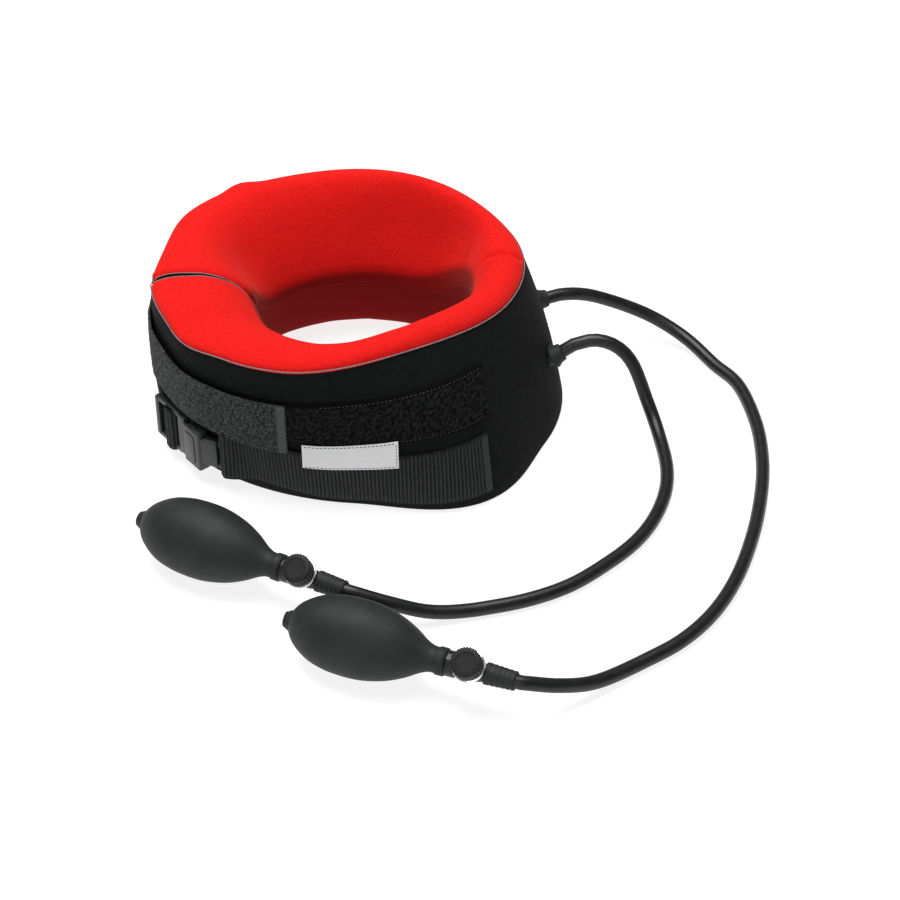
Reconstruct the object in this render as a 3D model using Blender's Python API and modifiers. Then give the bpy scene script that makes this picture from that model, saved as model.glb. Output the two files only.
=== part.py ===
"""Inflatable cervical traction collar with two hand bulbs, one object per piece.

The collar is a black foam shell in two halves that fold at the chin and close at
the nape.  Each half carries a fleece cushion with an air chamber inside, fed by
its own rubber hose, release valve and squeeze bulb.

All sizes below are in millimetres and are turned into metres when a mesh is made.
+X points from the nape to the chin, +Y to the wearer's left and +Z up.
"""
import math

import bmesh
import bpy
from mathutils import Vector

MM = 0.001
COLLECTION = "cervical_traction_collar"
CUTTERS = "cutters"

# ---------------------------------------------------------------- driving sizes
COLLAR_CENTRE = Vector((0.6, 94.1, 0.0))   # collar's own centre in the part's frame
GAP = 0.3                                   # air between touching pieces
HALF_GAP = 0.5                              # between the two halves, at chin and nape

HEIGHT = 105.0                              # height of the seam between shell and fleece
# Each outline: centre x, half length, half width, and how much it widens to the chin.
WALL_BOTTOM = (12.0, 127.0, 109.0, 0.10)
WALL_TOP = (-4.0, 115.0, 104.0, -0.10)
WALL_BULGE = 3.0                            # the wall swells this much at half height
# The foot of the right half's wall flares out between chin and ear.
FLARE_ANGLE, FLARE_REACH = 66.0, 34.0
FLARE_HEIGHT = 12.0
FLARE = {-1: 14.0, 1: 0.0}
INNER_Z = (4.0, 72.0)
INNER_BOTTOM = (5.0, 79.0, 73.0, 0.0)
INNER_TOP = (12.0, 68.0, 59.0, 0.0)

SHELL_THICKNESS = 5.0
SHELL_TOP = 101.0
STATIONS = 30                               # cross-sections along each half

# The cushion's cross-section: height, share of the way from wall to neck, inset.
CUSHION_SECTION = (
    (101.4, 0.00, 0.3), (105.5, 0.00, 0.8), (108.0, 0.14, 0.0), (108.5, 0.30, 0.0),
    (107.0, 0.50, 0.0), (102.0, 0.70, 0.0), (93.0, 0.87, 0.0), (82.0, 0.97, 0.0),
    (66.0, 1.00, 0.0), (45.0, 1.00, 0.0), (25.0, 0.98, 0.0), (10.0, 0.92, 0.0),
    (3.0, 0.80, 0.0), (2.0, 0.45, 0.0), (3.0, 0.00, 6.2), (12.0, 0.00, 5.8),
    (30.0, 0.00, 5.8), (50.0, 0.00, 5.8), (75.0, 0.00, 5.8), (99.0, 0.00, 5.6),
    (101.4, 0.00, 6.0),
)
SEAM_POINTS = 2                             # the first points overhang the shell's edge
COVER_SCALE = 0.88                          # inside of the fleece cover
BLADDER_SCALE = 0.76
BLADDER_END_SCALE = 0.6

# Air inlet on each half
EXIT_ANGLE = 16.0
EXIT_Z = 42.0
# Degrees above level and to the left of straight ahead, for the right and left halves
EXIT_HEADING = {-1: (30.0, 3.0), 1: (5.0, 10.0)}
PORT_RADIUS, PORT_BORE = 4.6, 2.6
PORT_INSIDE, PORT_OUTSIDE = 9.2, 9.0
PORT_HOLE = 5.1
GROMMET_FLANGE = 8.0

# Straps
STRAP_Z = (42.0, 79.0)
STRAP_ANGLES = (179.0, 113.0)
STRAP_THICKNESS = 2.0
STRAP_OUTSET = 3.9
PATCH_Z = (49.5, 79.0)
PATCH_ANGLES = (128.0, 54.0)
PATCH_RISE = 3.0
TAPE_THICKNESS = 1.6
TAPE_OUTSET = 1.8
WEBBING_Z = (7.5, 39.0)
WEBBING_ANGLES = (132.0, 57.0)
WEBBING_RISE = 8.0
NAPE_PATH = ((171.0, 2.8, 0.0), (175.0, 1.6, 0.0), (179.2, 1.2, 0.0))
LABEL_Z = (29.5, 48.0)
LABEL_ANGLES = (110.0, 84.0)
LABEL_RISE = 3.0
LABEL_THICKNESS = 0.8
LABEL_OUTSET = 3.3

# Hinges of the collar, the hook strap and the buckle's webbing, in the collar's own x, y
CHIN_HINGE = Vector((140.0, 0.0, 0.0))
STRAP_HINGE = Vector((-127.0, 1.0, 60.0))
WEBBING_HINGE = Vector((-121.8, 1.0, 23.0))

# Side-release buckle, in its own frame: +X is the way the plug pulls out, +Y outwards
BUCKLE_MOUTH = Vector((-107.2, -56.0, 23.25))
BUCKLE_ANGLE = 121.0
BUCKLE_DEPTH, BUCKLE_HEIGHT, BUCKLE_WIDTH = 27.0, 9.8, 37.0
ARM_LENGTH = 15.0
PLUG_SLOTS, PLUG_SLOT_WIDTH = (6.0, 15.5), 6.0
# The webbing's way through the plug's ladder, and round the housing's bar
LADDER_BENDS = ((9.0, -1.8), (9.0, 3.2), (10.4, 4.4), (17.2, 4.4), (18.5, 3.2),
                (18.5, -3.0), (20.4, -4.3), (29.0, -4.3))
BAR_BENDS = ((-22.0, 0.5), (-22.0, 4.8), (-23.4, 6.2), (-28.0, 6.2), (-32.0, 2.5))
ARM_PIVOT = (-0.8, 10.8)                     # x and z of an arm's bending root

# Hand bulb, turned round its own +Z from tail to neck
BULB_RADIUS = 22.8
BULB_HEIGHT = 23.0                          # axis above the floor
BULB_OUTER = (
    (96.5, 7.2), (95.6, 8.2), (91.4, 8.2), (90.0, 7.4), (86.5, 7.8), (82.0, 9.8),
    (74.0, 14.6), (64.0, 19.0), (52.0, 22.0), (42.0, BULB_RADIUS), (32.0, 22.4),
    (20.0, 20.0), (10.0, 14.8), (4.0, 9.0), (2.4, 6.2), (0.0, 5.4),
)
BULB_WALL = 2.4
NECK_BORE, TAIL_BORE = 4.9, 3.3
BULBS = {                                   # tail, in the collar's own x, y, and heading
    "right": ((-136.0, -129.5), -35.0),
    "left": ((-58.0, -228.5), -29.2),
}
VALVE_AXIS_AT = 111.0                       # along the bulb's axis
VALVE_END = 119.0
KNOB_LEAN = 35.0                            # degrees the knob leans out from upright
SLEEVE_LENGTH = 18.0

# Hoses, through these points in the collar's own frame, from the collar to the valve
HOSE_RADIUS = 4.25
HOSE_SPACING = 14.0
STRAIGHT_START = 8.0                        # the hose stays straight this far off the port
STRAIGHT_END = 21.0                         # and this far off the valve
HOSE_FLOOR = HOSE_RADIUS + GAP
HOSE_ROUTES = {
    "right": ((154, -31.5, 53.7), (167, -35.5, 50.4), (177, -41.5, 39.8), (185, -51.5, 18),
              (189, -70, 6.3), (188, -101, HOSE_FLOOR), (182, -126, HOSE_FLOOR),
              (170, -150, HOSE_FLOOR), (154, -170, HOSE_FLOOR), (133, -187, HOSE_FLOOR),
              (109, -202, HOSE_FLOOR), (82, -211, HOSE_FLOOR), (52, -215, HOSE_FLOOR),
              (25, -217, 8), (1, -215, 16)),
    "left": ((153, 35.5, 42.4), (167.5, 37.5, 37.5), (191.5, 39.5, 25), (210.5, 34, 16.2),
             (227.5, 19.5, 9), (241, -5, HOSE_FLOOR), (251, -28, HOSE_FLOOR), (253, -66, HOSE_FLOOR),
             (249, -100, HOSE_FLOOR), (241, -132, HOSE_FLOOR), (227, -170, HOSE_FLOOR),
             (208, -208, HOSE_FLOOR), (187, -237, HOSE_FLOOR), (163, -258, HOSE_FLOOR),
             (135, -273, HOSE_FLOOR), (108, -287, 8), (86, -295, 16)),
}

SIDES = {"right": -1, "left": 1}


# ---------------------------------------------------------------- scene helpers
def clear_scene():
    for old in list(bpy.data.objects):
        bpy.data.objects.remove(old, do_unlink=True)


def new_collection(name):
    group = bpy.data.collections.new(name)
    bpy.context.scene.collection.children.link(group)
    return group


def material(name, colour, roughness, metallic=0.0):
    finish = bpy.data.materials.new(name)
    finish.use_nodes = True
    shader = finish.node_tree.nodes["Principled BSDF"]
    shader.inputs["Base Color"].default_value = (*colour, 1.0)
    shader.inputs["Roughness"].default_value = roughness
    shader.inputs["Metallic"].default_value = metallic
    return finish


def make_materials():
    return {
        "fleece": material("red_fleece", (0.80, 0.02, 0.02), 0.95),
        "shell": material("black_shell", (0.012, 0.013, 0.013), 0.90),
        "bladder": material("bladder_rubber", (0.05, 0.05, 0.05), 0.60),
        "hook": material("hook_tape", (0.045, 0.047, 0.047), 0.80),
        "loop": material("loop_tape", (0.010, 0.010, 0.010), 0.95),
        "webbing": material("webbing", (0.022, 0.023, 0.023), 0.75),
        "label": material("label_tape", (0.80, 0.80, 0.80), 0.70),
        "buckle": material("buckle_plastic", (0.020, 0.020, 0.020), 0.35),
        "rubber": material("black_rubber", (0.025, 0.026, 0.026), 0.55),
        "hose": material("hose_rubber", (0.012, 0.012, 0.012), 0.35),
        "knob": material("knob_plastic", (0.015, 0.015, 0.015), 0.40),
        "chrome": material("chrome", (0.80, 0.80, 0.80), 0.12, 1.0),
    }


def empty(name, location, rotation=(0.0, 0.0, 0.0), parent=None):
    frame = bpy.data.objects.new(name, None)
    frame.empty_display_size = 0.01
    frame.location = Vector(location) * MM
    frame.rotation_euler = rotation
    frame.parent = parent
    parts.objects.link(frame)
    return frame


def add(name, mesh, finish, parent=None, offset=(0.0, 0.0, 0.0), group=None):
    """Put a mesh in the scene; offset is where its own zero lies under the parent."""
    piece = bpy.data.objects.new(name, mesh)
    piece.location = Vector(offset) * MM
    piece.parent = parent
    if finish:
        mesh.materials.append(MATERIALS[finish])
    (group or parts).objects.link(piece)
    return piece


def to_mesh(name, bm, smooth_angle=35.0):
    """Close a bmesh in millimetres into a metre mesh with outward faces."""
    bmesh.ops.recalc_face_normals(bm, faces=bm.faces)
    bmesh.ops.scale(bm, vec=(MM, MM, MM), verts=bm.verts)
    mesh = bpy.data.meshes.new(name)
    bm.to_mesh(mesh)
    bm.free()
    mesh.shade_smooth()
    mesh.set_sharp_from_angle(angle=math.radians(smooth_angle))
    return mesh


def loft(rings, hollow=None):
    """A skin over closed rings.  With hollow rings inside, the first end stays open."""
    bm = bmesh.new()

    def skin(loops):
        rows = [[bm.verts.new(point) for point in loop] for loop in loops]
        for row, following in zip(rows, rows[1:]):
            bridge(row, following)
        return rows

    def bridge(row, following):
        count = len(row)
        for i in range(count):
            j = (i + 1) % count
            bm.faces.new((row[i], row[j], following[j], following[i]))

    outer = skin(rings)
    bm.faces.new(outer[-1])
    if hollow:
        inner = skin(hollow)
        bm.faces.new(inner[-1])
        bridge(outer[0], inner[0])
    else:
        bm.faces.new(outer[0])
    return bm


def box(low, high):
    bm = bmesh.new()
    low, high = Vector(low), Vector(high)
    size = high - low
    bmesh.ops.create_cube(bm, size=1.0)
    bmesh.ops.scale(bm, vec=size, verts=bm.verts)
    bmesh.ops.translate(bm, vec=(low + high) / 2, verts=bm.verts)
    return bm


def round_edges(piece, width, segments=2):
    bevel = piece.modifiers.new("rounded_edges", "BEVEL")
    bevel.width = width * MM
    bevel.segments = segments
    bevel.limit_method = "ANGLE"
    bevel.angle_limit = math.radians(40.0)


def boolean(piece, other, operation="DIFFERENCE"):
    cut = piece.modifiers.new(f"{operation.lower()}_{other.name}", "BOOLEAN")
    cut.operation = operation
    cut.solver = "EXACT"
    cut.object = other
    other.hide_render = True
    other.display_type = "WIRE"


def cutter(name, bm, parent=None, offset=(0.0, 0.0, 0.0)):
    return add(name, to_mesh(name, bm), None, parent, offset, group=cutters)


def turned(name, profile, finish, parent, steps=24, offset=(0.0, 0.0, 0.0), closed=False):
    """Turn a profile of (height, radius) pairs, listed down its outer side, round +Z."""
    mesh = bpy.data.meshes.new(name)
    points = [(radius * MM, 0.0, height * MM) for height, radius in profile]
    edges = [(i, i + 1) for i in range(len(points) - 1)]
    if closed:
        edges.append((len(points) - 1, 0))
    mesh.from_pydata(points, edges, [])
    piece = add(name, mesh, finish, parent, offset)
    screw = piece.modifiers.new("turn", "SCREW")
    screw.steps = screw.render_steps = steps
    screw.use_merge_vertices = True
    screw.merge_threshold = 0.00002
    screw.use_smooth_shade = True
    return piece


def rod(radius, start, end, segments=20):
    """A closed cylinder between two heights on +Z."""
    bm = bmesh.new()
    bmesh.ops.create_cone(bm, cap_ends=True, segments=segments, radius1=radius,
                          radius2=radius, depth=end - start)
    bmesh.ops.translate(bm, vec=(0.0, 0.0, (start + end) / 2), verts=bm.verts)
    return bm


# ---------------------------------------------------------------- collar geometry
def blend_outline(low, high, share):
    return [a + (b - a) * share for a, b in zip(low, high)]


def on_outline(outline, angle, outset=0.0):
    centre, length, width, egg = outline
    across = math.cos(angle)
    return Vector((centre + (length + outset) * across,
                   (width + outset) * math.sin(angle) * (1.0 + egg * across)))


def flare(side, angle, z):
    """How far the foot of the wall stands out: full near the floor, nothing at the rim."""
    away = abs(math.degrees(angle) - FLARE_ANGLE) / FLARE_REACH
    if away >= 1.0:
        return 0.0
    fade = 1.0 - max(0.0, z - FLARE_HEIGHT) / (HEIGHT - FLARE_HEIGHT)
    return FLARE[side] * (1.0 + math.cos(math.pi * away)) / 2.0 * max(0.0, fade) ** 1.2


def wall(side, angle, z, outset=0.0):
    """A point on the wall in plan, for the left half; the right half mirrors it."""
    share = z / HEIGHT
    swell = WALL_BULGE * math.sin(math.pi * share) + flare(side, angle, z)
    return on_outline(blend_outline(WALL_BOTTOM, WALL_TOP, share), angle, outset + swell)


def upright(degrees, z, middle):
    """The angle at height z straight above or below an angle at the middle height."""
    angle = math.radians(degrees)
    centre, length = blend_outline(WALL_BOTTOM, WALL_TOP, middle / HEIGHT)[:2]
    x = centre + length * math.cos(angle)
    centre, length = blend_outline(WALL_BOTTOM, WALL_TOP, z / HEIGHT)[:2]
    straight = math.acos(max(-1.0, min(1.0, (x - centre) / length)))
    return angle + (straight - angle) * math.sin(angle) ** 2


def inner(angle, z):
    low, high = INNER_Z
    share = min(1.0, max(0.0, (z - low) / (high - low)))
    return on_outline(blend_outline(INNER_BOTTOM, INNER_TOP, share), angle)


def section_point(side, angle, z, share, inset):
    """A point between the wall and the neck; the angle runs from chin to nape."""
    flat = wall(side, angle, z, -inset).lerp(inner(angle, z), share)
    return Vector((flat.x, side * (flat.y + HALF_GAP / 2), z))


def section(side, degrees, points):
    return [section_point(side, math.radians(degrees), *point) for point in points]


def scaled(ring, share):
    middle = sum(ring, Vector()) / len(ring)
    return [middle + (point - middle) * share for point in ring]


def stations(first=0.0, last=180.0, count=STATIONS):
    return [first + (last - first) * i / count for i in range(count + 1)]


SHELL_SECTION = tuple(
    [(z, 0.0, 0.0) for z in (0.0, FLARE_HEIGHT, 30.0, 50.0, 75.0, SHELL_TOP)]
    + [(z, 0.0, SHELL_THICKNESS) for z in (SHELL_TOP, 75.0, 50.0, 30.0, FLARE_HEIGHT, 0.0)])

# Inside the cover the overhanging seam is left out.
COVER_SECTION = ((103.0, 0.0, 6.2), (105.5, 0.05, 5.0)) + CUSHION_SECTION[SEAM_POINTS:]


def exit_axis(side):
    """Where a hose leaves the wall, and the way it heads."""
    flat = wall(side, math.radians(EXIT_ANGLE), EXIT_Z)
    place = Vector((flat.x, side * (flat.y + HALF_GAP / 2), EXIT_Z))
    rise, turn = (math.radians(angle) for angle in EXIT_HEADING[side])
    heading = Vector((math.cos(rise) * math.cos(turn), math.cos(rise) * math.sin(turn),
                      math.sin(rise)))
    return place, heading


def exit_frame(name, side, parent):
    """An empty on the wall with +Z along the hose as it leaves the collar."""
    place, heading = exit_axis(side)
    return empty(name, place, heading.to_track_quat("Z", "X").to_euler(), parent)


def make_half(name, collar):
    side = SIDES[name]
    angles = stations()
    shell = add(f"shell_{name}",
                to_mesh("shell", loft([section(side, a, SHELL_SECTION) for a in angles])),
                "shell", collar)
    outer = [section(side, a, CUSHION_SECTION) for a in angles]
    inside = [scaled(section(side, a, COVER_SECTION), COVER_SCALE) for a in angles]
    # Nearest the nape the hollow stops short, so that end of the cover stays closed.
    cushion = add(f"cushion_{name}", to_mesh("cushion", loft(outer, inside[:-1])),
                  "fleece", collar)
    chamber = [scaled(section(side, a, COVER_SECTION), BLADDER_SCALE)
               for a in angles[1:-2]]
    chamber[0] = scaled(chamber[0], BLADDER_END_SCALE)
    chamber[-1] = scaled(chamber[-1], BLADDER_END_SCALE)
    add(f"bladder_{name}", to_mesh("bladder", loft(chamber)), "bladder", collar)

    axis = exit_frame(f"hose_exit_{name}", side, collar)
    hole = cutter(f"port_hole_{name}", rod(PORT_HOLE, -PORT_INSIDE, PORT_OUTSIDE), axis)
    boolean(shell, hole)
    boolean(cushion, hole)
    port = ((PORT_OUTSIDE, PORT_BORE), (PORT_OUTSIDE, PORT_RADIUS),
            (-PORT_INSIDE + 1.0, PORT_RADIUS), (-PORT_INSIDE + 1.0, PORT_BORE))
    turned(f"bladder_port_{name}", port, "rubber", axis, closed=True)
    grommet = ((8.4, PORT_HOLE), (8.4, 6.2), (5.6, 7.2), (5.0, GROMMET_FLANGE),
               (3.4, GROMMET_FLANGE), (3.4, PORT_HOLE))
    turned(f"hose_grommet_{name}", grommet, "rubber", axis, closed=True)


# ---------------------------------------------------------------- straps and label
def strap_path(first, last, outset, count, rise=0.0):
    """Angle, outset and lift along a strap that climbs by the rise towards its end."""
    return [(angle, outset, rise * (i / count) ** 2)
            for i, angle in enumerate(stations(first, last, count))]


def strap(name, finish, parent, path, thickness, heights, side=-1, pivot=Vector(), bends=()):
    """A flat strap round the wall: its plan outline, thickened and skinned upwards.

    The path holds (angle, outset, lift) points and bends are (x, y) points before it.
    """
    low, high = heights
    middle = (low + high) / 2
    rings = []
    for z in (low, middle, high):
        line = [Vector((*point, z)) for point in bends]
        for degrees, outset, lift in path:
            level = z + lift
            flat = wall(side, upright(degrees, level, middle + lift), level, outset)
            line.append(Vector((flat.x, side * (flat.y + HALF_GAP / 2), level)))
        rings.append([p - pivot for p in thickened(line, thickness)])
    return add(name, to_mesh(name, loft(rings)), finish, parent)


def thickened(line, thickness):
    """The outline of a line with this thickness, both sides and square ends."""
    left, right = [], []
    for i, point in enumerate(line):
        along = line[min(i + 1, len(line) - 1)] - line[max(i - 1, 0)]
        across = Vector((-along.y, along.x, 0.0)).normalized() * thickness / 2
        left.append(point + across)
        right.append(point - across)
    return left + right[::-1]


def make_straps(collar, left_half, strap_axis, webbing_axis):
    strap("loop_patch", "loop", collar,
          strap_path(*PATCH_ANGLES, TAPE_OUTSET, 14, PATCH_RISE), TAPE_THICKNESS, PATCH_Z)
    strap("buckle_webbing", "webbing", collar,
          strap_path(*WEBBING_ANGLES, TAPE_OUTSET, 14, WEBBING_RISE), TAPE_THICKNESS,
          WEBBING_Z, bends=[from_buckle(*bend) for bend in BAR_BENDS])
    strap("nape_webbing", "webbing", webbing_axis, NAPE_PATH, TAPE_THICKNESS, WEBBING_Z,
          pivot=WEBBING_HINGE, bends=[from_buckle(*bend) for bend in LADDER_BENDS])
    strap("blank_label", "label", collar,
          strap_path(*LABEL_ANGLES, LABEL_OUTSET, 6, LABEL_RISE), LABEL_THICKNESS, LABEL_Z)
    strap("hook_strap", "hook", strap_axis, strap_path(*STRAP_ANGLES, STRAP_OUTSET, 12),
          STRAP_THICKNESS, STRAP_Z, pivot=STRAP_HINGE)
    # Sewn ends of the strap and of the buckle's webbing, on the left half
    strap("hook_strap_base", "hook", left_half, strap_path(178.2, 162.0, TAPE_OUTSET, 3),
          TAPE_THICKNESS, STRAP_Z, side=1)
    strap("nape_webbing_base", "webbing", left_half,
          strap_path(178.2, 164.0, TAPE_OUTSET, 3), TAPE_THICKNESS, WEBBING_Z, side=1)


# ---------------------------------------------------------------- buckle
def block(name, low, high, finish, parent, offset=(0.0, 0.0, 0.0), rounding=0.0):
    piece = add(name, to_mesh(name, box(low, high)), finish, parent, offset)
    if rounding:
        round_edges(piece, rounding)
    return piece


def make_buckle(buckle, plug_frame):
    half_height, half_width = BUCKLE_HEIGHT / 2, BUCKLE_WIDTH / 2
    housing = block("buckle_housing", (-BUCKLE_DEPTH, -half_height, -half_width),
                    (0.0, half_height, half_width), "buckle", buckle, rounding=1.2)
    cavity_half = half_height - 1.6
    cavity_width = half_width - 1.9
    cavity = box((-17.0, -cavity_half, -cavity_width), (1.0, cavity_half, cavity_width))
    windows = box((-14.0, -cavity_half, -half_width - 1.0),
                  (-4.0, cavity_half, half_width + 1.0))
    slot = box((-24.0, -half_height - 1.0, -half_width + 2.3),
               (-20.0, half_height + 1.0, half_width - 2.3))
    for name, shape in (("cavity", cavity), ("windows", windows), ("bar_slot", slot)):
        boolean(housing, cutter(f"housing_{name}", shape, buckle))

    plug = block("buckle_plug", (0.6, -3.0, -18.3), (29.0, 3.0, 18.3), "buckle",
                 plug_frame, rounding=1.0)
    tongue = cutter("plug_tongue", box((-ARM_LENGTH, -1.7, -3.4), (2.0, 1.7, 3.4)),
                    plug_frame)
    boolean(plug, tongue, "UNION")
    for index, start in enumerate(PLUG_SLOTS):
        slot = box((start, -5.0, -16.1), (start + PLUG_SLOT_WIDTH, 5.0, 16.1))
        boolean(plug, cutter(f"plug_slot_{index}", slot, plug_frame))

    pivot_x, pivot_z = ARM_PIVOT
    for name, up in (("upper", 1), ("lower", -1)):
        frame = empty(f"plug_arm_{name}_pivot", (pivot_x, 0.0, up * pivot_z),
                      parent=plug_frame)
        arm = block(f"plug_arm_{name}", (-ARM_LENGTH + 0.8, -1.7, -2.2), (0.4, 1.7, 2.2),
                    "buckle", frame)
        pad_edge = sorted((up * 1.0, up * 4.9))
        pad = box((-12.4, -1.7, pad_edge[0]), (-5.0, 1.7, pad_edge[1]))
        boolean(arm, cutter(f"thumb_pad_{name}", pad, frame), "UNION")


def from_buckle(x, y):
    """A point of the buckle's own frame in the collar's x and y."""
    turn = math.radians(BUCKLE_ANGLE)
    return (BUCKLE_MOUTH.x + x * math.cos(turn) - y * math.sin(turn),
            BUCKLE_MOUTH.y + x * math.sin(turn) + y * math.cos(turn))


# ---------------------------------------------------------------- bulbs and hoses
def bulb_inner():
    """The bulb's inside, from its tail hole up to its neck."""
    inside = []
    for height, radius in reversed(BULB_OUTER):
        if 6.0 < height < 84.0:
            inside.append((height, radius - BULB_WALL))
    return ([(0.0, TAIL_BORE), (5.0, TAIL_BORE)] + inside
            + [(88.0, NECK_BORE), (96.5, NECK_BORE)])


def make_bulb(name):
    (tail_x, tail_y), heading = BULBS[name]
    turn = math.radians(heading)
    tail = COLLAR_CENTRE + Vector((tail_x, tail_y, BULB_HEIGHT))
    axis = empty(f"bulb_{name}_axis", tail, (math.pi / 2, 0.0, turn + math.pi / 2))
    turned(f"bulb_{name}", bulb_inner() + list(BULB_OUTER), "rubber", axis, 28, closed=True)
    inlet = ((8.0, 1.6), (8.0, 3.0), (-GAP, 3.0), (-GAP, 4.9), (-1.8, 4.6), (-1.8, 1.6))
    turned(f"inlet_valve_{name}", inlet, "knob", axis, 20, closed=True)
    flap = ((8.9, 0.0), (8.9, 2.8), (8.3, 2.8), (8.3, 0.0))
    turned(f"inlet_flap_{name}", flap, "rubber", axis, 16)

    stem = release_axis(f"release_{name}_axis", axis)
    body_profile = ((VALVE_END, 1.6), (VALVE_END, 5.2), (116.0, 6.0), (104.0, 6.0),
                    (102.0, 7.4), (97.0, 7.4), (97.0, 4.6), (88.0, 4.6), (88.0, 1.6))
    body = turned(f"valve_body_{name}", body_profile, "chrome", axis, 24, closed=True)
    boss = cutter(f"valve_boss_{name}", rod(5.0, 2.0, 9.0), stem)
    bore = cutter(f"needle_bore_{name}", rod(2.3, 3.0, 12.0), stem)
    boolean(body, boss, "UNION")
    boolean(body, bore)
    collar_ring = ((9.4, 5.3), (9.4, 7.8), (7.6, 7.8), (7.6, 5.3))
    turned(f"valve_collar_{name}", collar_ring, "chrome", stem, 28, closed=True)
    needle = ((14.4, 0.0), (14.4, 1.9), (5.0, 1.9), (3.4, 0.0))
    turned(f"release_needle_{name}", needle, "chrome", stem, 16)
    knob = ((14.8, 0.0), (14.8, 2.3), (9.9, 2.3), (9.9, 7.4), (10.6, 8.1), (17.2, 8.1),
            (18.0, 7.2), (18.0, 0.0))
    turned(f"release_knob_{name}", knob[::-1], "knob", stem, 28)


def release_axis(name, axis):
    """The release knob's axis: across the valve, leaning out from upright."""
    frame = empty(name, (0.0, 0.0, VALVE_AXIS_AT), parent=axis)
    lean = math.radians(KNOB_LEAN)
    across = Vector((-math.sin(lean), math.cos(lean), 0.0))
    frame.rotation_euler = across.to_track_quat("Z", "Y").to_euler()
    return frame


def smooth_route(points, spacing):
    """Points at an even spacing on a Catmull-Rom curve through the given ones."""
    dense = []
    ends = [2 * points[0] - points[1]] + points + [2 * points[-1] - points[-2]]
    for a, b, c, d in zip(ends, ends[1:], ends[2:], ends[3:]):
        for i in range(24):
            s = i / 24
            dense.append(((2 * b) + (c - a) * s + (2 * a - 5 * b + 4 * c - d) * s ** 2
                          + (3 * b - a - 3 * c + d) * s ** 3) / 2)
    dense.append(points[-1])
    lengths = [0.0]
    for p, q in zip(dense, dense[1:]):
        lengths.append(lengths[-1] + (q - p).length)
    count = max(2, round(lengths[-1] / spacing))
    route, at = [], 0
    for i in range(count + 1):
        target = lengths[-1] * i / count
        while at < len(lengths) - 2 and lengths[at + 1] < target:
            at += 1
        share = (target - lengths[at]) / (lengths[at + 1] - lengths[at])
        route.append(dense[at].lerp(dense[at + 1], min(1.0, share)))
    return route


def make_hose(name):
    side = SIDES[name]
    place, heading = exit_axis(side)
    start = COLLAR_CENTRE + place + heading * (PORT_OUTSIDE + GAP)
    (tail_x, tail_y), degrees = BULBS[name]
    turn = math.radians(degrees)
    along = Vector((math.cos(turn), math.sin(turn), 0.0))
    tail = COLLAR_CENTRE + Vector((tail_x, tail_y, BULB_HEIGHT))
    end = tail + along * (VALVE_END + GAP)
    middle = [COLLAR_CENTRE + Vector(point) for point in HOSE_ROUTES[name]]
    route = smooth_route([start + heading * STRAIGHT_START] + middle
                         + [end + along * STRAIGHT_END], HOSE_SPACING)
    curve = bpy.data.curves.new(f"hose_{name}", "CURVE")
    curve.dimensions = "3D"
    curve.bevel_depth = HOSE_RADIUS * MM
    curve.bevel_resolution = 3
    curve.use_fill_caps = True
    spline = curve.splines.new("POLY")
    route = [start] + [Vector((p.x, p.y, max(p.z, HOSE_FLOOR))) for p in route] + [end]
    spline.points.add(len(route) - 1)
    for point, place in zip(spline.points, route):
        point.co = (*(place * MM), 1.0)
    add_curve(f"hose_{name}", curve)
    axis = bpy.data.objects[f"bulb_{name}_axis"]
    sleeve = ((VALVE_END + GAP + SLEEVE_LENGTH, 4.7), (VALVE_END + GAP + SLEEVE_LENGTH, 5.8),
              (VALVE_END + GAP, 6.4), (VALVE_END + GAP, 4.7))
    turned(f"hose_sleeve_{name}", sleeve, "rubber", axis, 20, closed=True)


def add_curve(name, curve):
    piece = bpy.data.objects.new(name, curve)
    curve.materials.append(MATERIALS["hose"])
    parts.objects.link(piece)


# ---------------------------------------------------------------- assembly
clear_scene()
parts = new_collection(COLLECTION)
cutters = new_collection(CUTTERS)
MATERIALS = make_materials()

collar = empty("collar_frame", COLLAR_CENTRE)
chin_hinge = empty("chin_hinge", CHIN_HINGE, parent=collar)
left_half = empty("left_half_frame", -CHIN_HINGE, parent=chin_hinge)
strap_axis = empty("strap_hinge", STRAP_HINGE, parent=left_half)
webbing_axis = empty("webbing_hinge", WEBBING_HINGE, parent=left_half)
buckle_turn = (0.0, 0.0, math.radians(BUCKLE_ANGLE))
buckle = empty("buckle_frame", BUCKLE_MOUTH, buckle_turn, collar)
plug_frame = empty("plug_frame", BUCKLE_MOUTH - WEBBING_HINGE, buckle_turn, webbing_axis)

make_half("right", collar)
make_half("left", left_half)
make_straps(collar, left_half, strap_axis, webbing_axis)
make_buckle(buckle, plug_frame)
for bulb_name in BULBS:
    make_bulb(bulb_name)
    make_hose(bulb_name)
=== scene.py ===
import math

import bmesh
import bpy
from mathutils import Matrix, Vector, noise


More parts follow.
